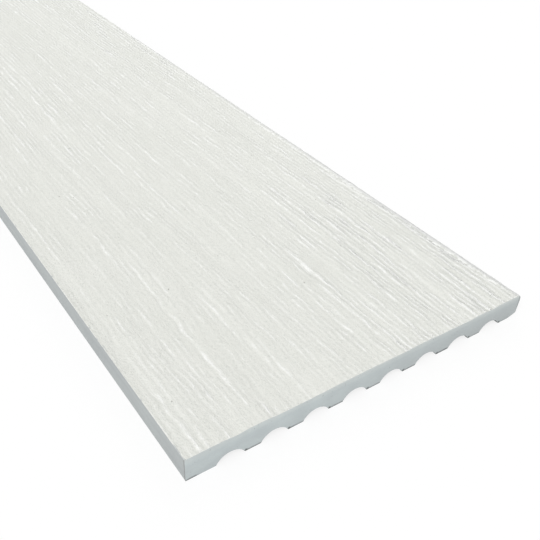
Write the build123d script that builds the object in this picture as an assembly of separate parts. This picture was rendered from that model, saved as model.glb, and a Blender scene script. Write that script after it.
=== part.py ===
from build123d import *
from math import sqrt
import os

# Fibre cement trim board, one piece, lying on its scalloped back with its face up.
# The length runs along X, with the sawn end that shows at +X.
# The width runs along Y, with the square long edge at -Y and the eased one at +Y.
# The origin is at the middle of the back, and the back's lands lie in the plane Z = 0.
# All sizes are in millimetres.

# The board as it is sold
BOARD_LENGTH = 3657.6
BOARD_WIDTH = 285.75
BOARD_THICKNESS = 19.05

# Scallops, the round-bottomed grooves that run the whole length of the back
SCALLOP_PITCH = 32.1
SCALLOP_RADIUS = 11.5
SCALLOP_DEPTH = 6.3
FIRST_LAND_WIDTH = 20.5
LEAST_LAST_LAND_WIDTH = 8.0

# The square long edge, whose top arris is barely softened
SQUARE_ARRIS_RADIUS = 0.8

# The eased long edge: a round top arris, an upright stretch, then a lean in to a bevel on the back
EASED_ARRIS_RADIUS = 2.5
EASED_LEAN_BELOW_FACE = 6.5
EASED_LEAN = 1.5
EASED_HEEL_RADIUS = 1.0
BACK_BEVEL_WIDTH = 8.5
BACK_BEVEL_HEIGHT = 2.2

LEFT_EDGE = -BOARD_WIDTH / 2
RIGHT_EDGE = BOARD_WIDTH / 2
HEEL = RIGHT_EDGE - EASED_LEAN
BEVEL_START = HEEL - BACK_BEVEL_WIDTH
SCALLOP_HALF_MOUTH = sqrt(SCALLOP_RADIUS**2 - (SCALLOP_RADIUS - SCALLOP_DEPTH) ** 2)


def board_outline() -> Sketch:
    """The section without its scallops, with the board's Y as its x and the board's Z as its y."""
    corners = [
        ((LEFT_EDGE, 0), 0),
        ((BEVEL_START, 0), 0),
        ((HEEL, BACK_BEVEL_HEIGHT), EASED_HEEL_RADIUS),
        ((RIGHT_EDGE, BOARD_THICKNESS - EASED_LEAN_BELOW_FACE), 0),
        ((RIGHT_EDGE, BOARD_THICKNESS), EASED_ARRIS_RADIUS),
        ((LEFT_EDGE, BOARD_THICKNESS), SQUARE_ARRIS_RADIUS),
    ]
    points = [point for point, radius in corners]
    radii = [radius for point, radius in corners]
    with BuildSketch() as outline:
        with BuildLine():
            FilletPolyline(*points, radius=radii, close=True)
        make_face()
    return outline.sketch


def scallop_centres() -> list:
    """The centres of the scallops' arcs, as many as fit between the first land and the last one.

    Each centre lies below the back, so that its arc bites in to the scallop's depth.
    """
    first = LEFT_EDGE + FIRST_LAND_WIDTH + SCALLOP_HALF_MOUTH
    last_allowed = BEVEL_START - LEAST_LAST_LAND_WIDTH - SCALLOP_HALF_MOUTH
    count = int((last_allowed - first) / SCALLOP_PITCH) + 1
    height = SCALLOP_DEPTH - SCALLOP_RADIUS
    return [(first + number * SCALLOP_PITCH, height) for number in range(count)]


def board_section() -> Sketch:
    """The whole section: the outline with every scallop cut out of its back."""
    with BuildSketch() as section:
        add(board_outline())
        with Locations(scallop_centres()):
            Circle(SCALLOP_RADIUS, mode=Mode.SUBTRACT)
    return section.sketch


def trim_board() -> Part:
    """The section carried along the length, half of it to each side of the origin."""
    across = Plane(origin=(0, 0, 0), x_dir=(0, 1, 0), z_dir=(1, 0, 0))
    with BuildPart() as board:
        with BuildSketch(across):
            add(board_section())
        extrude(amount=BOARD_LENGTH / 2, both=True)
    return board.part


os.makedirs("parts", exist_ok=True)
export_step(trim_board(), "parts/trim_board.step")
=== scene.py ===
"""Looks of a fibre cement trim board: primed woodgrain face, plain edges, sawn ends and scalloped back."""

import logging
from dataclasses import dataclass
from enum import Enum
from math import cos, pi, radians, sin, sqrt
from typing import Union

import bpy
import numpy as np
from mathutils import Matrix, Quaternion, Vector


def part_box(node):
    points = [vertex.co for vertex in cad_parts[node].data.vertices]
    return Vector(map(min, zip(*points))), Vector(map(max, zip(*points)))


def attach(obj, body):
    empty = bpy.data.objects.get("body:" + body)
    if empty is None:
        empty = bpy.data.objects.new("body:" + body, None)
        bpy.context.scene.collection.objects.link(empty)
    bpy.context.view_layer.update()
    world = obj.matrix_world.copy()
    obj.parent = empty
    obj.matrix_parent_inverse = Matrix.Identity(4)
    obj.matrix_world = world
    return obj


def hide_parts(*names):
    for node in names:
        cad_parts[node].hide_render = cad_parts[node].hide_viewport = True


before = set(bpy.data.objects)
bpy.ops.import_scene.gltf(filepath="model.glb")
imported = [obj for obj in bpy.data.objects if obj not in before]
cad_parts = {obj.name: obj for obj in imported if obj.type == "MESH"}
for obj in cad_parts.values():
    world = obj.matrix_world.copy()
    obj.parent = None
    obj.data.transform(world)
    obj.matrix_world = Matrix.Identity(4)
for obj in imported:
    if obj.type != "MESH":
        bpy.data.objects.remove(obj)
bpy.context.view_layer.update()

MM = 0.001
BOARD_NODE = "trim_board"
BODY = "root"
RING_ATTRIBUTE = "ring"
STRENGTH_ATTRIBUTE = "strength"
WEAR_ATTRIBUTE = "wear"
WHITE = (1.0, 1.0, 1.0)

# Numbers of a colour Mix node's sockets
MIX_FACTOR = 0
MIX_FIRST_COLOUR = 6
MIX_SECOND_COLOUR = 7
MIX_RESULT_COLOUR = 2

Number = Union[int, float]
Triple = tuple[float, float, float]
Colour = tuple[float, float, float]
Fade = tuple[float, float]

log = logging.getLogger("trim_board")


def noise(u: np.ndarray, v: np.ndarray, seed: int) -> np.ndarray:
    """Smooth gradient noise, between about -1 and 1, with one bump for each whole step of u and v.

    Every whole-number point gets a random slope. A place between four such points takes the four
    slopes' heights there, blended with the weight 6t^5 - 15t^4 + 10t^3 along u and along v. A gain
    then stretches the blend to the full range.

    Args:
        u: first coordinate, any shape.
        v: second coordinate, of a shape that broadcasts with u.
        seed: number that picks the pattern.

    Returns:
        The noise, in the broadcast shape.
    """
    period = 512
    gain = 1.5
    turn = np.random.default_rng(seed).uniform(0, 2 * pi, (period, period))
    u, v = np.broadcast_arrays(u, v)
    u_low, v_low = np.floor(u), np.floor(v)
    u_part, v_part = u - u_low, v - v_low
    u_cell, v_cell = u_low.astype(int), v_low.astype(int)

    def slope_height(i: int, j: int) -> np.ndarray:
        """The height that the slope at one corner of the cell gives here."""
        angle = turn[(u_cell + i) % period, (v_cell + j) % period]
        return np.cos(angle) * (u_part - i) + np.sin(angle) * (v_part - j)

    u_weight = u_part**3 * (u_part * (6 * u_part - 15) + 10)
    v_weight = v_part**3 * (v_part * (6 * v_part - 15) + 10)
    near = slope_height(0, 0) * (1 - u_weight) + slope_height(1, 0) * u_weight
    far = slope_height(0, 1) * (1 - u_weight) + slope_height(1, 1) * u_weight
    return gain * (near * (1 - v_weight) + far * v_weight)


def ramp(values: np.ndarray, low: float, high: float) -> np.ndarray:
    """Rises smoothly from 0 at low to 1 at high, as 3t^2 - 2t^3."""
    t = np.clip((values - low) / (high - low), 0, 1)
    return t * t * (3 - 2 * t)


@dataclass(frozen=True)
class Waves:
    """Noise over the face: the length and breadth of its bumps in metres, and the seed that picks it."""

    length: float
    breadth: float
    seed: int

    def at(self, x: np.ndarray, y: np.ndarray) -> np.ndarray:
        """The noise at places along and across the face."""
        return noise(x / self.length, y / self.breadth, self.seed)


class Surface(Enum):
    """The board's kinds of surface, each with its own finish, in the order of the material slots."""

    FACE = 0
    EDGE = 1
    BACK = 2
    SAWN = 3


@dataclass(frozen=True)
class Wire:
    """A shader socket that takes part in arithmetic, each operator adding one Math node."""

    shading: "Shading"
    socket: bpy.types.NodeSocket

    def __add__(self, other: "Operand") -> "Wire":
        """The sum."""
        return self.shading.maths("ADD", self, other)

    def __mul__(self, other: "Operand") -> "Wire":
        """The product."""
        return self.shading.maths("MULTIPLY", self, other)

    def __sub__(self, other: "Operand") -> "Wire":
        """The difference."""
        return self.shading.maths("SUBTRACT", self, other)

    def __rsub__(self, other: "Operand") -> "Wire":
        """The difference, where the wire is the second value."""
        return self.shading.maths("SUBTRACT", other, self)

    def __pow__(self, other: "Operand") -> "Wire":
        """The power."""
        return self.shading.maths("POWER", self, other)

    __radd__ = __add__
    __rmul__ = __mul__

    def between(self, low: float, high: float) -> "Wire":
        """Rises smoothly from 0 where the wire is low to 1 where it is high."""
        return self.shading.node(
            "ShaderNodeMapRange",
            {"interpolation_type": "SMOOTHSTEP"},
            {"Value": self, "From Min": low, "From Max": high},
        )


Operand = Union[Wire, Number]
Value = Union[Wire, Number, tuple]


@dataclass(frozen=True)
class Cloud:
    """A shader's noise pattern.

    The bumps are counted for each metre along X, Y and Z. Where the pattern is drawn over two
    coordinates they are counted for each whole step of those, and the third number is the layer
    of the noise that is used. The noise lies between 0 and 1. A fade makes it rise from 0 to 1
    between two of its values. The gain multiplies it after that, and the base is added last.
    """

    bumps: Triple
    detail: float = 2.0
    roughness: float = 0.5
    fade: Fade | None = None
    gain: float = 1.0
    base: float = 0.0


class Shading:
    """The node tree of one material or world, and the ways to add to it."""

    def __init__(self, owner: Union[bpy.types.Material, bpy.types.World]) -> None:
        """Empties the node tree of a material or world."""
        owner.use_nodes = True
        self.owner = owner
        self.tree = owner.node_tree
        self.tree.nodes.clear()

    @classmethod
    def material(cls, name: str) -> "Shading":
        """Makes a material of that name, with an empty tree."""
        return cls(bpy.data.materials.new(name))

    def node(self, kind: str, settings: dict | None = None, inputs: dict | None = None,
             output: Union[int, str] = 0) -> Wire:
        """Adds a node.

        Args:
            kind: the node's type.
            settings: its properties by name, set first.
            inputs: a value or a Wire for each socket, by name or number.
            output: name or number of the output to hand back.

        Returns:
            That output, as a Wire.
        """
        made = self.tree.nodes.new(kind)
        for name, value in (settings or {}).items():
            setattr(made, name, value)
        for name, value in (inputs or {}).items():
            if isinstance(value, Wire):
                self.tree.links.new(value.socket, made.inputs[name])
            else:
                made.inputs[name].default_value = value
        return Wire(self, made.outputs[output] if made.outputs else None)

    def maths(self, operation: str, first: Operand, second: Operand = 0.0) -> Wire:
        """One Math node on one or two values."""
        return self.node("ShaderNodeMath", {"operation": operation}, {0: first, 1: second})

    def attribute(self, name: str) -> Wire:
        """A number that the mesh carries at its points."""
        return self.node("ShaderNodeAttribute", {"attribute_name": name}, output="Fac")

    def object_place(self) -> Wire:
        """The place on the object, in metres."""
        return self.node("ShaderNodeTexCoord", output="Object")

    def axes(self) -> tuple[Wire, Wire, Wire]:
        """The place on the object, in metres along X, Y and Z."""
        x = self.node("ShaderNodeSeparateXYZ", inputs={0: self.object_place()})
        outputs = x.socket.node.outputs
        return x, Wire(self, outputs[1]), Wire(self, outputs[2])

    def seen_directly(self) -> Wire:
        """Gives 1 to rays from the camera, a mirroring face or clear glass, and 0 to all others."""
        paths = self.node("ShaderNodeLightPath", output="Is Camera Ray")
        outputs = paths.socket.node.outputs
        glossy = self.maths("MAXIMUM", paths, Wire(self, outputs["Is Glossy Ray"]))
        return self.maths("MAXIMUM", glossy, Wire(self, outputs["Is Transmission Ray"]))

    def vector(self, x: Value, y: Value, z: Value = 0.0) -> Wire:
        """A vector from its three parts."""
        return self.node("ShaderNodeCombineXYZ", inputs={0: x, 1: y, 2: z})

    def cloud_at(self, place: Wire, pattern: Cloud) -> Wire:
        """A pattern's noise at a place that is already counted in its bumps."""
        inputs = {"Vector": place, "Scale": 1.0, "Detail": pattern.detail, "Roughness": pattern.roughness}
        drawn = self.node("ShaderNodeTexNoise", inputs=inputs, output="Fac")
        if pattern.fade is not None:
            drawn = drawn.between(*pattern.fade)
        if pattern.gain != 1.0:
            drawn = drawn * pattern.gain
        return drawn + pattern.base if pattern.base else drawn

    def cloud(self, pattern: Cloud) -> Wire:
        """A pattern's noise over the object, counted along its X, Y and Z."""
        inputs = {"Vector": self.object_place(), "Scale": pattern.bumps}
        return self.cloud_at(self.node("ShaderNodeMapping", inputs=inputs), pattern)

    def cloud_over(self, pattern: Cloud, first: Operand, second: Operand) -> Wire:
        """A pattern's noise over two coordinates, either of which may be a plain number."""
        first_bumps, second_bumps, layer = pattern.bumps
        return self.cloud_at(self.vector(first * first_bumps, second * second_bumps, layer), pattern)

    def blend(self, factor: Operand, first: Value, second: Value) -> Wire:
        """Goes from the first colour to the second as factor goes from 0 to 1."""
        colours = [(*value, 1.0) if isinstance(value, tuple) else value for value in (first, second)]
        inputs = {MIX_FACTOR: factor, MIX_FIRST_COLOUR: colours[0], MIX_SECOND_COLOUR: colours[1]}
        return self.node("ShaderNodeMix", {"data_type": "RGBA"}, inputs, output=MIX_RESULT_COLOUR)

    def bump(self, height: Wire, distance: float, normal: Wire | None = None) -> Wire:
        """A normal bent by a height from 0 to 1 that stands for so many metres."""
        inputs = {"Height": height, "Distance": distance, "Strength": 1.0}
        if normal is not None:
            inputs["Normal"] = normal
        return self.node("ShaderNodeBump", inputs=inputs)

    def finish(self, sockets: dict) -> bpy.types.Material:
        """Ends the tree with a Principled shader that has those sockets, and returns the material."""
        shader = self.node("ShaderNodeBsdfPrincipled", inputs=sockets)
        self.node("ShaderNodeOutputMaterial", inputs={"Surface": shader})
        return self.owner


@dataclass(frozen=True)
class PrimedFace:
    """Off-white primer over the embossed grain: satin, with a painted highlight on the crests and painted
    shade in the hollows, worn at the arrises.
    """

    half_length: float
    eased_side: float
    name: str = "primed_woodgrain"

    # The film's colours, with a painted highlight for the crests and painted shade for the hollows
    primer: Colour = (0.808, 0.815, 0.768)
    thin: Colour = (0.788, 0.797, 0.748)
    crest: Colour = (0.955, 0.963, 0.938)
    hollow: Colour = (0.665, 0.677, 0.637)
    dull: Colour = (0.725, 0.740, 0.695)
    bare: Colour = (0.570, 0.595, 0.585)
    rim: Colour = (0.660, 0.665, 0.668)
    speck: Colour = (0.480, 0.480, 0.440)

    # The grain's lines, drawn over the length and the ring count
    breaks: Cloud = Cloud(
        (110.0, 1.7, 2.7), detail=4.0, roughness=0.6, fade=(0.36, 0.66), gain=1.60, base=0.22
    )
    knots: Cloud = Cloud((380.0, 2.6, 15.2), fade=(0.34, 0.66), gain=0.90, base=0.60)
    hairs: Cloud = Cloud((42.0, 6.3, 4.4), detail=3.0, roughness=0.6, fade=(0.52, 0.74))
    # the furrows only add painted shade, as thin dark lines
    furrows: Cloud = Cloud((36.0, 5.2, 11.7), detail=3.0, roughness=0.6, fade=(0.52, 0.74), gain=0.50)
    lumps: Cloud = Cloud((300.0, 1.9, 9.1), detail=4.0, roughness=0.70)
    specks: Cloud = Cloud((230.0, 1.8, 5.3), detail=0.0, fade=(0.86, 0.90))
    crest_power: float = 4.0
    crest_growth: float = 1.45
    hair_weight: float = 0.45
    hollow_power: float = 3.0
    hollow_weight: float = 0.60
    hollow_growth: float = 0.8

    # The film's patches, relief and gloss
    mottle: Cloud = Cloud((9.0, 22.0, 1.0), detail=3.0, fade=(0.35, 0.65))
    grit: Cloud = Cloud((620.0, 620.0, 620.0), detail=1.0, fade=(0.50, 0.80))
    crest_height: float = 0.16 * MM
    lump_height: float = 1.10 * MM
    lump_growth: float = 0.15
    grit_height: float = 0.08
    roughness: float = 0.54
    crest_gloss: float = 0.14
    glossiest_crest: float = 1.5
    lump_roughness: float = 0.08
    specular: float = 0.6

    # The arrises, measured from the eased side and from the sawn ends
    wear_weight: float = 0.7
    lump_weight: float = 0.6
    wear_fade: Fade = (0.65, 0.95)
    rag: Cloud = Cloud((260.0, 6.1, 0.0), detail=3.0, gain=4.0 * MM)
    dots: Cloud = Cloud((230.0, 300.0, 8.3), fade=(0.44, 0.58))
    rim_fade: Fade = (-4.0 * MM, -0.8 * MM)
    # where the dotted painted highlight beside the eased arris lies
    arris_highlight_fade: Fade = (-6.2 * MM, -4.8 * MM)
    rim_end_fade: Fade = (200 * MM, 750 * MM)
    rim_weight: float = 0.1
    rim_end_weight: float = 0.5

    def build(self) -> bpy.types.Material:
        """Makes the material.

        The film is thin in patches and dull with grit. It has painted shade in the hollows and a
        painted highlight on the crests, which are also glossier. Where the wear attribute and the
        lumps are high, along the arrises, the cement is bare. A few small specks are dark.

        Returns:
            The finished material.
        """
        s = Shading.material(self.name)
        along, across, _ = s.axes()
        ring = s.attribute(RING_ATTRIBUTE)
        strength = s.attribute(STRENGTH_ATTRIBUTE)
        crest, hollow = self.lines(s, along, ring, strength)
        lump = s.cloud_over(self.lumps, along, ring)
        grit = s.cloud(self.grit)
        film = s.blend(grit, s.blend(s.cloud(self.mottle), self.thin, self.primer), self.dull)
        # painted shade in the hollows, then a painted highlight on the crests
        raised = s.blend(crest, s.blend(hollow, film, self.hollow), self.crest)
        rimmed = self.rimmed(s, along, across, raised)
        wear = s.attribute(WEAR_ATTRIBUTE) * self.wear_weight + lump * self.lump_weight
        worn = s.blend(wear.between(*self.wear_fade), rimmed, self.bare)
        grown_lump = lump * (strength * self.lump_growth + (1.0 - self.lump_growth))
        lump_normal = s.bump(grown_lump + grit * self.grit_height, self.lump_height)
        gloss = s.maths("MINIMUM", crest, self.glossiest_crest) * self.crest_gloss
        return s.finish({
            "Base Color": s.blend(s.cloud_over(self.specks, along, ring), worn, self.speck),
            "Roughness": self.roughness - gloss + lump * self.lump_roughness,
            "Specular IOR Level": self.specular,
            "Normal": s.bump(crest, self.crest_height, lump_normal),
        })

    def lines(self, s: Shading, along: Wire, ring: Wire, strength: Wire) -> tuple[Wire, Wire]:
        """Draws the grain's lines, whose noises bend with them because they are drawn over the ring count.

        The ring attribute counts the lines across the board, and the strength attribute says how
        high each one stands. A crest is (0.5 + 0.5 cos(2 pi ring))^4 times strength^1.45, times the
        breaks and the knots, which part it into strokes and beads. Hairs between the crests are
        added, times 0.45 (strength + strength^2). The crest bends the normal, adds gloss and is
        painted as a highlight. A hollow is painted shade only: 0.6 (0.5 - 0.5 cos(2 pi ring))^3 plus
        the furrows, times strength^0.8.

        Args:
            s: the material's node tree.
            along: the place along the length.
            ring: the ring attribute.
            strength: the strength attribute.

        Returns:
            How much of a crest, which also takes the painted highlight, and how much of a hollow, which
            takes the painted shade, each place is.
        """
        wave = s.maths("COSINE", ring * (2 * pi)) * 0.5 + 0.5
        strokes = s.cloud_over(self.breaks, along, ring)
        beads = s.cloud_over(self.knots, along, ring)
        hairs = s.cloud_over(self.hairs, along, ring)
        furrows = s.cloud_over(self.furrows, along, ring)
        crest = wave ** self.crest_power * strength ** self.crest_growth * strokes * beads
        crest = crest + hairs * strength * (strength * self.hair_weight + self.hair_weight)
        hollow = (1.0 - wave) ** self.hollow_power * self.hollow_weight + furrows
        return crest, hollow * strength ** self.hollow_growth

    def rimmed(self, s: Shading, along: Wire, across: Wire, face: Wire) -> Wire:
        """Lays a greyer rim over the eased arris, and a dotted line of painted highlight beside it.

        Both have a ragged border. The rim is faint, and stronger towards the sawn ends. The painted
        highlight is there only.

        Args:
            s: the material's node tree.
            along: the place along the length.
            across: the place across the width.
            face: the face's colour.

        Returns:
            The colour with both laid over it.
        """
        near_end = 1.0 - (self.half_length - s.maths("ABSOLUTE", along)).between(*self.rim_end_fade)
        ragged = s.cloud_over(self.rag, along, 1.0) + across
        rim = ragged.between(*(self.eased_side + gap for gap in self.rim_fade))
        # a dotted painted highlight beside the rim, in the crest's colour
        arris_highlight = ragged.between(*(self.eased_side + gap for gap in self.arris_highlight_fade))
        arris_highlight = arris_highlight * (1.0 - rim) * s.cloud_over(self.dots, along, across)
        beaded = s.blend(arris_highlight * near_end, face, self.crest)
        return s.blend(rim * (near_end * self.rim_end_weight + self.rim_weight), beaded, self.rim)


@dataclass(frozen=True)
class PlainEdge:
    """The long edges: smooth cement under one thin coat, with faint lines along the length."""

    half_length: float
    name: str = "primed_edge"
    light: Colour = (0.450, 0.478, 0.476)
    dark: Colour = (0.402, 0.426, 0.430)
    end_darkening: Colour = (0.300, 0.310, 0.310)
    streaks: Cloud = Cloud((9.0, 300.0, 500.0), detail=3.0)
    mottle: Cloud = Cloud((30.0, 90.0, 90.0), detail=3.0)
    grit: Cloud = Cloud((900.0, 900.0, 900.0))
    streak_share: float = 0.5
    tone_fade: Fade = (0.35, 0.65)
    end_darkening_fade: Fade = (0.7 * MM, 1.9 * MM)
    streak_height: float = 0.06 * MM
    grit_height: float = 0.03 * MM
    roughness: float = 0.62
    mottle_roughness: float = 0.15
    specular: float = 0.35

    def build(self) -> bpy.types.Material:
        """Makes the material, from noise drawn out along the length.

        A thin darker line runs down beside each sawn end.

        Returns:
            The finished material.
        """
        s = Shading.material(self.name)
        along, _, _ = s.axes()
        end_gap = self.half_length - s.maths("ABSOLUTE", along)
        darkened_near_end = 1.0 - end_gap.between(*self.end_darkening_fade)
        streak = s.cloud(self.streaks)
        mottle = s.cloud(self.mottle)
        tone = streak * self.streak_share + mottle * (1.0 - self.streak_share)
        plain = s.blend(tone.between(*self.tone_fade), self.dark, self.light)
        grit_normal = s.bump(s.cloud(self.grit), self.grit_height)
        return s.finish({
            "Base Color": s.blend(darkened_near_end, plain, self.end_darkening),
            "Roughness": self.roughness + mottle * self.mottle_roughness,
            "Specular IOR Level": self.specular,
            "Normal": s.bump(streak, self.streak_height, grit_normal),
        })


@dataclass(frozen=True)
class SawnEnd:
    """The sawn ends: bare pale grey cement, cool in tone, with fine pits and the blade's faint lines."""

    scallop_corner: float
    scallop_pitch: float
    eased_side: float
    name: str = "sawn_cement"

    # The cement's colours
    light: Colour = (0.595, 0.655, 0.660)
    dark: Colour = (0.540, 0.592, 0.602)
    # painted shade: darker and less blue towards the eased edge and towards the bottom
    painted_shade: Colour = (0.485, 0.518, 0.520)
    pit: Colour = (0.430, 0.465, 0.470)
    lip: Colour = (0.700, 0.735, 0.715)
    foot: Colour = (0.230, 0.245, 0.245)
    # painted shadow of a scallop's inner wall, at one corner of each scallop's mouth
    fibre_fleck_and_painted_shadow: Colour = (0.130, 0.138, 0.136)

    # The sawn surface
    blade: Cloud = Cloud((1.0, 700.0, 60.0))
    mottle: Cloud = Cloud((60.0, 60.0, 120.0), detail=4.0)
    grit: Cloud = Cloud((1500.0, 1500.0, 1500.0))
    pits: Cloud = Cloud((500.0, 500.0, 500.0), detail=1.0, fade=(0.72, 0.80))
    grit_share: float = 0.3
    tone_fade: Fade = (0.38, 0.62)
    # where the painted shade grows, across the end and up it
    painted_shade_across: Fade = (-100 * MM, 160 * MM)
    painted_shade_up: Fade = (4 * MM, 17 * MM)
    painted_shade_up_share: float = 0.30
    saw_height: float = 0.05 * MM
    pit_depth: float = 0.6
    roughness: float = 0.80
    grit_roughness: float = 0.1
    specular: float = 0.25

    # The borders, at heights above the back's plane, and along the eased side and past a scallop's corner
    runs: Cloud = Cloud((1.0, 120.0, 200.0), gain=1.6 * MM)
    lip_fade: Fade = (17.2 * MM, 19.7 * MM)
    lip_slope: float = 0.0035
    lip_weight: float = 0.45
    haze_fade: Fade = (13.5 * MM, 16.8 * MM)
    haze_weight: float = 0.30
    foot_fade: Fade = (1.2 * MM, 2.4 * MM)
    foot_patches: Fade = (0.34, 0.54)
    side_fade: Fade = (-1.6 * MM, 0.4 * MM)
    side_weight: float = 0.7
    # where the painted shadows sit
    painted_shadow_breadth: Fade = (0.03, 0.07)
    painted_shadow_height: Fade = (0.8 * MM, 2.6 * MM)
    first_painted_shadow: float = 1.0 * MM

    def build(self) -> bpy.types.Material:
        """Makes the material, from fine noise and from noise drawn out up the thickness.

        Painted shade makes the cement a little darker and less blue towards the eased edge, and
        darker towards the bottom. A ragged lip of primer comes over from the face, wider towards the
        eased edge, with a thin haze of it below. The foot and the eased side have a thin darker line,
        and a small painted shadow sits at one corner of each scallop.

        Returns:
            The finished material.
        """
        s = Shading.material(self.name)
        _, across, height = s.axes()
        mottle = s.cloud(self.mottle)
        grit = s.cloud(self.grit)
        pits = s.cloud(self.pits)
        runs = s.cloud(self.runs)
        ragged = height + runs

        tone = mottle * (1.0 - self.grit_share) + grit * self.grit_share
        fresh = s.blend(tone.between(*self.tone_fade), self.dark, self.light)
        # painted shade, growing towards the eased edge and towards the bottom
        painted_shade = across.between(*self.painted_shade_across) * (1.0 - self.painted_shade_up_share)
        painted_shade = painted_shade + (1.0 - height.between(*self.painted_shade_up)) * self.painted_shade_up_share
        drips = (ragged + across * self.lip_slope).between(*self.lip_fade)
        lip = drips * self.lip_weight + ragged.between(*self.haze_fade) * self.haze_weight
        foot = (1.0 - ragged.between(*self.foot_fade)) * mottle.between(*self.foot_patches)
        side = (across + runs).between(*(self.eased_side + gap for gap in self.side_fade))
        line = s.maths("MAXIMUM", foot, side * self.side_weight)
        body = s.blend(lip, s.blend(painted_shade, fresh, self.painted_shade), self.lip)
        # the foot line, then a painted shadow at one corner of each scallop
        body = s.blend(self.fibre_flecks_and_painted_shadows(s, across, height), s.blend(line, body, self.foot), self.fibre_fleck_and_painted_shadow)
        grit_normal = s.bump(grit - pits * self.pit_depth, self.saw_height)
        return s.finish({
            "Base Color": s.blend(pits, body, self.pit),
            "Roughness": self.roughness + grit * self.grit_roughness,
            "Specular IOR Level": self.specular,
            "Normal": s.bump(s.cloud(self.blade), self.saw_height, grit_normal),
        })

    def fibre_flecks_and_painted_shadows(self, s: Shading, across: Wire, height: Wire) -> Wire:
        """Marks the painted shadows: low down, over the first few hundredths of a pitch past each scallop's
        corner.

        Args:
            s: the material's node tree.
            across: the place across the width.
            height: the height above the back's plane.

        Returns:
            1 on a painted shadow and 0 elsewhere.
        """
        past_corner = s.maths("FRACT", (across - self.scallop_corner) * (1 / self.scallop_pitch))
        fibre_fleck_and_painted_shadow = (1.0 - past_corner.between(*self.painted_shadow_breadth)) * (1.0 - height.between(*self.painted_shadow_height))
        return fibre_fleck_and_painted_shadow * across.between(self.scallop_corner - self.first_painted_shadow, self.scallop_corner)


@dataclass(frozen=True)
class ScallopedBack:
    """The back: bare grey cement with long marks from the forming, with painted shadow in the scallops'
    mouths.
    """

    half_length: float
    name: str = "bare_back"
    light: Colour = (0.460, 0.490, 0.490)
    dark: Colour = (0.385, 0.412, 0.415)
    # painted shadow on the scallops' walls near the sawn ends
    end_darkening: Colour = (0.130, 0.138, 0.136)
    # real pale fibre flecks in the cement
    fibre_fleck_and_painted_shadow: Colour = (0.560, 0.580, 0.570)
    marks: Cloud = Cloud((4.0, 450.0, 450.0), detail=3.0)
    mottle: Cloud = Cloud((30.0, 110.0, 110.0), detail=5.0, roughness=0.65)
    grit: Cloud = Cloud((1100.0, 1100.0, 1100.0))
    fibre_flecks_and_painted_shadows: Cloud = Cloud((260.0, 800.0, 800.0), detail=1.0, fade=(0.68, 0.78))
    mark_share: float = 0.5
    mottle_share: float = 0.3
    grit_share: float = 0.2
    tone_fade: Fade = (0.36, 0.64)
    mouth_fade: Fade = (0.1 * MM, 0.9 * MM)
    end_darkening_fade: Fade = (3.0 * MM, 11.0 * MM)
    mark_height: float = 0.12 * MM
    grit_height: float = 0.048 * MM
    roughness: float = 0.78
    grit_roughness: float = 0.12
    specular: float = 0.25

    def build(self) -> bpy.types.Material:
        """Makes the material, from noise drawn out along the length, fine grit and pale specks of fibre.

        Painted shadow darkens the scallops' walls for a few millimetres in from the sawn ends.

        Returns:
            The finished material.
        """
        s = Shading.material(self.name)
        along, _, height = s.axes()
        end_gap = self.half_length - s.maths("ABSOLUTE", along)
        # painted shadow inside the scallops' mouths, a few millimetres in from each sawn end
        darkened_near_end = height.between(*self.mouth_fade) * (1.0 - end_gap.between(*self.end_darkening_fade))
        marks = s.cloud(self.marks)
        grit = s.cloud(self.grit)
        tone = marks * self.mark_share + s.cloud(self.mottle) * self.mottle_share + grit * self.grit_share
        plain = s.blend(tone.between(*self.tone_fade), self.dark, self.light)
        flecked = s.blend(s.cloud(self.fibre_flecks_and_painted_shadows), plain, self.fibre_fleck_and_painted_shadow)
        grit_normal = s.bump(grit, self.grit_height)
        return s.finish({
            "Base Color": s.blend(darkened_near_end, flecked, self.end_darkening),
            "Roughness": self.roughness + grit * self.grit_roughness,
            "Specular IOR Level": self.specular,
            "Normal": s.bump(marks, self.mark_height, grit_normal),
        })


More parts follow.
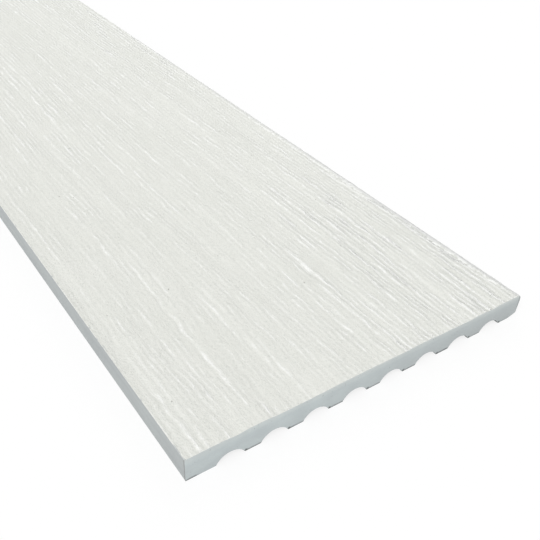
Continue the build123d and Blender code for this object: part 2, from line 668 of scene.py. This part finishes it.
@dataclass(frozen=True)
class Section:
    """The board's section, with the sizes of the solid, in metres.

    The solid's heel is round. Here it is one short straight, from heel_top to heel_bottom, which
    are given across and up from the bevel's outer end.
    """

    width: float
    thickness: float
    scallop_pitch: float = 32.1 * MM
    scallop_radius: float = 11.5 * MM
    scallop_depth: float = 6.3 * MM
    scallop_count: int = 8
    first_land: float = 20.5 * MM
    square_arris: float = 0.8 * MM
    eased_arris: float = 2.5 * MM
    lean_below_face: float = 6.5 * MM
    lean: float = 1.5 * MM
    bevel_width: float = 8.5 * MM
    bevel_height: float = 2.2 * MM
    heel_top: tuple[float, float] = (0.18 * MM, 0.8 * MM)
    heel_bottom: tuple[float, float] = (-0.6 * MM, -0.1 * MM)
    face_columns: int = 380
    arris_steps: int = 4
    scallop_steps: int = 12

    def scallop_corner(self) -> float:
        """Where the first scallop ends and a land begins, across the width."""
        lift = self.scallop_radius - self.scallop_depth
        return -self.width / 2 + self.first_land + 2 * sqrt(self.scallop_radius**2 - lift**2)

    def face_stretch(self) -> tuple[np.ndarray, np.ndarray]:
        """The outline over the face, from the square edge's arris to the eased edge's.

        Each arris is a quarter circle about its own centre: y = c + r sin(a), z = d + r cos(a). The
        outward direction there is (sin(a), cos(a)), and straight up on the face between them.

        Returns:
            The points as rows of y and z, and their outward directions.
        """
        half = self.width / 2
        turn = np.linspace(0, pi / 2, self.arris_steps + 1)
        left_out = np.stack([-np.sin(turn[::-1]), np.cos(turn[::-1])], 1)
        right_out = np.stack([np.sin(turn), np.cos(turn)], 1)
        left_centre = np.array([-half + self.square_arris, self.thickness - self.square_arris])
        right_centre = np.array([half - self.eased_arris, self.thickness - self.eased_arris])
        flat_y = np.linspace(left_centre[0], right_centre[0], self.face_columns + 1)[1:-1]
        flat = np.stack([flat_y, np.full_like(flat_y, self.thickness)], 1)
        up = np.tile([0.0, 1.0], (len(flat), 1))
        left = left_centre + self.square_arris * left_out
        right = right_centre + self.eased_arris * right_out
        return np.concatenate([left, flat, right]), np.concatenate([left_out, up, right_out])

    def back_stretch(self) -> tuple[np.ndarray, np.ndarray]:
        """The rest of the outline, down the eased edge, along the back and to the square edge's foot.

        A scallop is the arc of its radius about a centre below the back: y = c + r sin(a),
        z = d - r + r cos(a), from one end of its mouth to the other.

        Returns:
            The points as rows of y and z, and which of the spans between them lie on the back. The
            bevel is the first of those.
        """
        half = self.width / 2
        heel = half - self.lean
        half_turn = np.arccos(1 - self.scallop_depth / self.scallop_radius)
        mouth = self.scallop_radius * sin(half_turn)
        turn = np.linspace(half_turn, -half_turn, self.scallop_steps + 1)
        first = -half + self.first_land + mouth
        centres = first + self.scallop_pitch * np.arange(self.scallop_count)[::-1]
        arc_y = centres[:, None] + self.scallop_radius * np.sin(turn)
        arc_z = np.broadcast_to(
            self.scallop_depth - self.scallop_radius + self.scallop_radius * np.cos(turn), arc_y.shape
        )
        edge = [
            (half, self.thickness - self.lean_below_face),
            (heel + self.heel_top[0], self.bevel_height + self.heel_top[1]),
            (heel + self.heel_bottom[0], self.bevel_height + self.heel_bottom[1]),
        ]
        bevel_start = [(heel - self.bevel_width, 0.0)]
        arcs = np.stack([arc_y.ravel(), arc_z.ravel()], 1)
        points = np.concatenate([edge, bevel_start, arcs, [(-half, 0.0)]])
        return points, np.arange(len(points) - 1) >= len(edge) - 1


@dataclass(frozen=True)
class Woodgrain:
    """The embossed grain: narrow crests along the length, crowded in bundles round smooth islands."""

    # The lines' course
    line_spacing: float = 4.4 * MM
    bend: float = 4.0 * MM
    bend_waves: Waves = Waves(0.26, 0.060, 11)
    bundle: float = 1.9 * MM
    bundle_waves: Waves = Waves(0.11, 0.011, 12)
    waver: float = 1.2 * MM
    waver_waves: Waves = Waves(0.015, 0.009, 13)

    # The lines' strength
    streak_length: float = 0.034
    streaks_per_line: float = 0.58
    streak_seed: int = 14
    streak_fade: Fade = (-0.45, 0.45)
    least_streak: float = 0.28
    patch_waves: Waves = Waves(0.09, 0.016, 15)
    patch_fade: Fade = (-0.35, 0.35)
    least_patch: float = 0.50
    wide_waves: Waves = Waves(0.45, 0.20, 1038)
    wide_middle: float = 0.93
    wide_slope: float = 1.8
    wide_gain: float = 1.25
    least_wide: float = 0.60
    pair_waves: Waves = Waves(0.20, 0.030, 23)
    pair_drift: float = 2.0
    pair_gain: float = 0.20
    crowding_range: tuple[float, float] = (0.95, 2.5)
    crowding_power: float = 1.5

    # The emboss
    depth: float = 0.66 * MM
    base_height: float = 0.34
    crest_height: float = 0.32
    crest_power: float = 1.5
    ridge_waves: Waves = Waves(0.030, 0.0050, 18)
    ridge_height: float = 0.20
    least_ridge: float = 0.45
    lump_waves: Waves = Waves(0.008, 0.0035, 17)
    lump_height: float = 0.12
    swell_depth: float = 0.78 * MM
    swell_waves: Waves = Waves(0.16, 0.019, 4609)
    swell_fade: Fade = (-0.45, 0.45)

    def rings(self, x: np.ndarray, y: np.ndarray) -> np.ndarray:
        """The count of grain lines across the board, a whole number along each crest.

        It is (y + bend noise + bundle noise + waver noise) / spacing. The bundle noise crowds the
        lines together in some places and spreads them in others.

        Args:
            x: places along the length.
            y: places across the width, of a shape that broadcasts with x.

        Returns:
            The counts, in the broadcast shape.
        """
        bend = self.bend * self.bend_waves.at(x, y)
        bundle = self.bundle * self.bundle_waves.at(x, y)
        waver = self.waver * self.waver_waves.at(x, y)
        return (y + bend + bundle + waver) / self.line_spacing

    def strength(self, x: np.ndarray, y: np.ndarray, ring: np.ndarray) -> np.ndarray:
        """How high each line stands, about 1 on most: noises times a wave, over a power of the crowding.

        One noise on the length and the ring count lets each line come and go by itself, one weakens
        the lines over patches, and a wide one over parts of the board, more so at the square edge.
        A wave of two rings' length, cos(pi ring), lets every second line stand higher. The crowding
        is the ring count's slope across the board times the spacing, and crowded lines stand lower.

        Args:
            x: places along the length.
            y: places across the width, as one row.
            ring: the ring counts there.

        Returns:
            The strengths, in the ring counts' shape.
        """
        streak = noise(x / self.streak_length, ring * self.streaks_per_line, self.streak_seed)
        streak = self.least_streak + (1 - self.least_streak) * ramp(streak, *self.streak_fade)
        patch = ramp(self.patch_waves.at(x, y), *self.patch_fade)
        patch = self.least_patch + (1 - self.least_patch) * patch
        wide = self.wide_middle + self.wide_slope * y + self.wide_gain * self.wide_waves.at(x, y)
        wide = np.clip(wide, self.least_wide, None)
        pairs = 1 + self.pair_gain * np.cos(pi * ring + self.pair_drift * self.pair_waves.at(x, y))
        crowding = np.gradient(ring, y, axis=1) * self.line_spacing
        crowding = np.clip(crowding, *self.crowding_range)
        return streak * patch * wide * pairs / crowding**self.crowding_power

    def relief(self, x: np.ndarray, y: np.ndarray, ring: np.ndarray, strength: np.ndarray) -> np.ndarray:
        """The height of the emboss, from 0 in the deepest hollow to 1 on the highest crest.

        It is a base, plus (0.5 + 0.5 cos(2 pi ring))^1.5 times the line's strength, plus ridges that
        keep no step with the lines, plus lumps a few millimetres wide.

        Args:
            x: places along the length.
            y: places across the width.
            ring: the ring counts there.
            strength: the lines' strength there.

        Returns:
            The heights, in the ring counts' shape.
        """
        crest = (0.5 + 0.5 * np.cos(2 * pi * ring)) ** self.crest_power * strength
        ridges = self.ridge_waves.at(x, y) * (self.least_ridge + (1 - self.least_ridge) * strength)
        lumps = self.lump_waves.at(x, y)
        height = self.base_height + self.crest_height * crest
        height = height + self.ridge_height * ridges + self.lump_height * lumps
        return np.clip(height, 0, 1)

    def swell(self, x: np.ndarray, y: np.ndarray) -> np.ndarray:
        """The broad rise and fall under the grain, from 0 to 1, about two fingers across."""
        return ramp(self.swell_waves.at(x, y), *self.swell_fade)


@dataclass(frozen=True)
class ArrisWear:
    """Small chips along both long arrises, with frayed stretches near the corners."""

    chip_depth: float = 0.35 * MM
    chip_waves: Waves = Waves(0.005, 0.003, 19)
    chip_fade: Fade = (0.15, 0.65)
    chip_reach: Fade = (0.8 * MM, 3.2 * MM)
    fray_waves: Waves = Waves(0.0065, 0.0025, 21)
    fray_fade: Fade = (-0.10, 0.45)
    fray_reach: Fade = (0.8 * MM, 2.6 * MM)
    corner_reach: Fade = (8 * MM, 34 * MM)

    def at(self, x: np.ndarray, y: np.ndarray, edge_gap: np.ndarray, corner_gap: np.ndarray) -> np.ndarray:
        """How worn the face is, from 0 to 1.

        It is the larger of two noises, each raised from 0 to 1 between two of its values. The chips
        fade out away from the arrises, and the frays away from the arrises and from the sawn ends.

        Args:
            x: places along the length.
            y: places across the width.
            edge_gap: how far each y is from the nearer long edge.
            corner_gap: how far each x is from the nearer sawn end.

        Returns:
            The wear, in the broadcast shape.
        """
        chips = ramp(self.chip_waves.at(x, y), *self.chip_fade)
        chips = chips * (1 - ramp(edge_gap, *self.chip_reach))
        frays = ramp(self.fray_waves.at(x, y), *self.fray_fade)
        fray_place = (1 - ramp(corner_gap, *self.corner_reach)) * (1 - ramp(edge_gap, *self.fray_reach))
        return np.maximum(chips, frays * fray_place)


@dataclass
class TrimBoard:
    """The board, as one closed mesh: its section carried along the length, with the grain pressed in."""

    section: Section
    grain: Woodgrain
    wear: ArrisWear
    near_x: float
    far_x: float
    rows: int = 241
    rows_per_back_row: int = 10
    row_growth: float = 2.6
    grain_margin: float = 1.6 * MM
    swell_margin: float = 9 * MM
    chip_margin: float = 0.5 * MM
    sharp_angle: float = 40.0
    name: str = "woodgrain_trim_board"

    def row_places(self) -> np.ndarray:
        """Places along the length, close together at the near end: (e^(kt) - 1) / (e^k - 1)."""
        share = np.expm1(self.row_growth * np.linspace(0, 1, self.rows)) / np.expm1(self.row_growth)
        return self.near_x + (self.far_x - self.near_x) * share

    def face_points(self, x: np.ndarray) -> tuple[np.ndarray, dict[str, np.ndarray]]:
        """The face's points, each sunk from the outline against its outward direction.

        The sunk depth is depth times (1 - relief), plus the swell's depth times (1 - swell), plus
        the chips' depth times the wear. Each part fades to nothing over its margin, towards the
        upright edges.

        Args:
            x: the rows' places along the length.

        Returns:
            The points as rows, columns and x, y, z, and by attribute name the ring count, the
            lines' strength and the wear along the arrises.
        """
        outline, outward = self.section.face_stretch()
        run = np.concatenate([[0.0], np.cumsum(np.hypot(*np.diff(outline, axis=0).T))])
        along, across = x[:, None], run - run[-1] / 2
        edge_gap = np.minimum(run, run[-1] - run)
        corner_gap = np.minimum(abs(along - self.near_x), abs(along - self.far_x))
        ring = self.grain.rings(along, across)
        strength = self.grain.strength(along, across, ring)
        relief = self.grain.relief(along, across, ring, strength)
        swell = self.grain.swell(along, across)
        wear = self.wear.at(along, across, edge_gap, corner_gap)
        sunk = self.grain.depth * (1 - relief) * ramp(edge_gap, 0.0, self.grain_margin)
        sunk = sunk + self.grain.swell_depth * (1 - swell) * ramp(edge_gap, 0.0, self.swell_margin)
        sunk = sunk + self.wear.chip_depth * wear * ramp(edge_gap, 0.0, self.chip_margin)
        flat = outline - sunk[..., None] * outward
        points = np.concatenate([np.broadcast_to(x[:, None, None], sunk.shape + (1,)), flat], 2)
        return points, {RING_ATTRIBUTE: ring, STRENGTH_ATTRIBUTE: strength, WEAR_ATTRIBUTE: wear}

    def build(self) -> bpy.types.Object:
        """Builds the mesh.

        The face has a row for every place along the length. The edges and back are straight along
        it, so they have a row for every tenth, and the upright spans that join the two kinds of row
        are flat polygons. One flat polygon closes each end.

        Returns:
            The board's object, with no materials yet.
        """
        x = self.row_places()
        face, attributes = self.face_points(x)
        back_outline, on_back = self.section.back_stretch()
        back_x = x[:: self.rows_per_back_row]
        back = np.empty((len(back_x), len(back_outline), 3))
        back[..., 0] = back_x[:, None]
        back[..., 1:] = back_outline
        face_index = np.arange(face.shape[0] * face.shape[1]).reshape(face.shape[:2])
        back_index = face_index.size + np.arange(back.shape[0] * back.shape[1]).reshape(back.shape[:2])

        face_quads = self.quads(face_index)
        back_quads = self.quads(back_index)
        back_kinds = np.where(on_back, Surface.BACK.value, Surface.EDGE.value)
        back_kinds = np.tile(back_kinds, len(back_x) - 1)
        joins = self.edge_joins(face_index, back_index)
        loop = np.concatenate([face_index[[0, -1]], back_index[[0, -1]]], 1)
        ends = [loop[0, ::-1].tolist(), loop[1].tolist()]

        polygons = face_quads.tolist() + back_quads.tolist() + joins + ends
        kinds = np.concatenate([
            np.full(len(face_quads), Surface.FACE.value),
            back_kinds,
            np.full(len(joins), Surface.EDGE.value),
            np.full(len(ends), Surface.SAWN.value),
        ])
        mesh = bpy.data.meshes.new(self.name)
        vertices = np.concatenate([face.reshape(-1, 3), back.reshape(-1, 3)])
        mesh.from_pydata(vertices.tolist(), [], polygons)
        mesh.polygons.foreach_set("material_index", kinds.astype(np.int32))
        mesh.polygons.foreach_set("use_smooth", kinds < Surface.SAWN.value)
        for name, values in attributes.items():
            padded = np.concatenate([values.ravel(), np.zeros(back_index.size)])
            layer = mesh.attributes.new(name, "FLOAT", "POINT")
            layer.data.foreach_set("value", padded.astype(np.float32))
        mesh.set_sharp_from_angle(angle=radians(self.sharp_angle))
        mesh.validate()
        board = bpy.data.objects.new(self.name, mesh)
        bpy.context.scene.collection.objects.link(board)
        return board

    @staticmethod
    def quads(index: np.ndarray) -> np.ndarray:
        """The four corners of each cell of a grid of point numbers, turned to face outwards."""
        corners = [index[:-1, :-1], index[:-1, 1:], index[1:, 1:], index[1:, :-1]]
        return np.stack([corner.ravel() for corner in corners], 1)

    def edge_joins(self, face_index: np.ndarray, back_index: np.ndarray) -> list[list[int]]:
        """The flat polygons on the two upright edges, each from one back row to the next.

        Args:
            face_index: point numbers of the face's grid.
            back_index: point numbers of the back's grid.

        Returns:
            The polygons, as lists of point numbers.
        """
        step = self.rows_per_back_row
        spans = np.arange(len(back_index) - 1)
        rows = spans[:, None] * step + np.arange(step + 1)
        eased = np.concatenate([
            back_index[spans, :1], back_index[spans + 1, :1], face_index[rows[:, ::-1], -1]
        ], 1)
        square = np.concatenate([
            back_index[spans + 1, -1:], back_index[spans, -1:], face_index[rows, 0]
        ], 1)
        return eased.tolist() + square.tolist()

    def dress(self, board: bpy.types.Object, finishes: dict) -> None:
        """Gives the board its finishes, one for each kind of surface, and ties it to the frame.

        Args:
            board: the object that build made.
            finishes: a finish for each Surface.
        """
        for surface in Surface:
            board.data.materials.append(finishes[surface].build())
        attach(board, BODY)
        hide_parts(BOARD_NODE)


@dataclass(frozen=True)
class SoftLamp:
    """A soft lamp far away, at an azimuth and elevation in degrees, and its breadth in the sky."""

    name: str
    strength: float
    azimuth: float
    elevation: float
    spread: float

    def hang(self) -> None:
        """Hangs the lamp, which shines from its place towards the board."""
        lamp = bpy.data.lights.new(self.name, "SUN")
        lamp.energy = self.strength
        lamp.angle = radians(self.spread)
        hung = bpy.data.objects.new(self.name, lamp)
        bpy.context.scene.collection.objects.link(hung)
        toward = direction_from(self.azimuth, self.elevation)
        hung.rotation_mode = "QUATERNION"
        hung.rotation_quaternion = (-toward).to_track_quat("-Z", "Y")


@dataclass(frozen=True)
class Studio:
    """A pale floor under even light, a soft lamp from the front left and a weak one from behind."""

    floor_half_size: float = 30.0
    floor_colour: Colour = (0.84, 0.84, 0.84)
    floor_glow: float = 0.80
    sky_strength: float = 0.58
    key: SoftLamp = SoftLamp("key_lamp", strength=1.63, azimuth=32.0, elevation=47.0, spread=25.0)
    sheen: SoftLamp = SoftLamp("sheen_lamp", strength=0.35, azimuth=228.0, elevation=28.0, spread=40.0)

    def build(self) -> None:
        """Makes the floor, the sky and the lamps."""
        self.lay_floor()
        self.light_sky()
        self.key.hang()
        self.sheen.hang()

    def lay_floor(self) -> None:
        """Lays the floor at the height that the board rests on, white where the camera sees it."""
        size = self.floor_half_size
        corners = [(-size, -size, 0), (size, -size, 0), (size, size, 0), (-size, size, 0)]
        mesh = bpy.data.meshes.new("studio_floor")
        mesh.from_pydata(corners, [], [(0, 1, 2, 3)])
        floor = bpy.data.objects.new("studio_floor", mesh)
        bpy.context.scene.collection.objects.link(floor)
        s = Shading.material("floor_paint")
        seen = s.seen_directly()
        paint = s.node("ShaderNodeBsdfDiffuse", inputs={"Color": s.blend(seen, self.floor_colour, WHITE)})
        glow = s.node("ShaderNodeEmission", inputs={"Color": (*WHITE, 1.0)})
        mixed = s.node("ShaderNodeMixShader", inputs={0: seen * self.floor_glow, 1: paint, 2: glow})
        s.node("ShaderNodeOutputMaterial", inputs={"Surface": mixed})
        mesh.materials.append(s.owner)

    def light_sky(self) -> None:
        """Lights the scene evenly from all round, and shows the camera and glossy faces plain white."""
        world = bpy.data.worlds.new("studio_sky")
        bpy.context.scene.world = world
        s = Shading(world)
        strength = s.seen_directly() * (1.0 - self.sky_strength) + self.sky_strength
        sky = s.node("ShaderNodeBackground", inputs={"Color": (*WHITE, 1.0), "Strength": strength})
        s.node("ShaderNodeOutputWorld", inputs={"Surface": sky})


@dataclass(frozen=True)
class Viewpoint:
    """The camera, placed from the corner where the near sawn end meets the square edge."""

    from_corner: Triple = (0.2482, -0.1211, 0.3541)
    azimuth: float = 54.663
    elevation: float = 36.231
    roll: float = 2.011
    lens: float = 49.175
    sensor: float = 36.0
    nearest: float = 0.01
    farthest: float = 200.0

    def build(self, corner: Vector) -> None:
        """Makes the camera and hands it to the scene.

        Args:
            corner: the corner that its place is given from.
        """
        lens = bpy.data.cameras.new("camera")
        lens.lens = self.lens
        lens.sensor_width = self.sensor
        lens.clip_start = self.nearest
        lens.clip_end = self.farthest
        camera = bpy.data.objects.new("camera", lens)
        bpy.context.scene.collection.objects.link(camera)
        camera.location = corner + Vector(self.from_corner)
        back = direction_from(self.azimuth, self.elevation)
        level = (-back).to_track_quat("-Z", "Y")
        camera.rotation_mode = "QUATERNION"
        camera.rotation_quaternion = level @ Quaternion((0, 0, 1), radians(self.roll))
        bpy.context.scene.camera = camera


def direction_from(azimuth: float, elevation: float) -> Vector:
    """The unit vector towards a place at that azimuth, 0 at -Y and 90 at +X, and elevation."""
    turn, rise = radians(azimuth), radians(elevation)
    return Vector((sin(turn) * cos(rise), -cos(turn) * cos(rise), sin(rise)))


def main() -> None:
    """Builds the board, its finishes, the studio and the camera, in that order."""
    low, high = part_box(BOARD_NODE)
    section = Section(width=high.y - low.y, thickness=high.z - low.z)
    half_length = (high.x - low.x) / 2
    board = TrimBoard(section, Woodgrain(), ArrisWear(), near_x=high.x, far_x=low.x)
    piece = board.build()
    log.info("%s: %d points, %d faces", piece.name, len(piece.data.vertices), len(piece.data.polygons))
    board.dress(piece, {
        Surface.FACE: PrimedFace(half_length, high.y),
        Surface.EDGE: PlainEdge(half_length),
        Surface.BACK: ScallopedBack(half_length),
        Surface.SAWN: SawnEnd(section.scallop_corner(), section.scallop_pitch, high.y),
    })
    log.info("%s: %d finishes", piece.name, len(piece.data.materials))
    Studio().build()
    log.info("studio: floor, sky and lamps")
    Viewpoint().build(Vector((high.x, low.y, low.z)))
    log.info("camera: in place")
    bpy.context.scene.view_settings.view_transform = "Standard"


if __name__ == "__main__":
    logging.basicConfig(level=logging.INFO, format="%(name)s %(message)s")
    main()
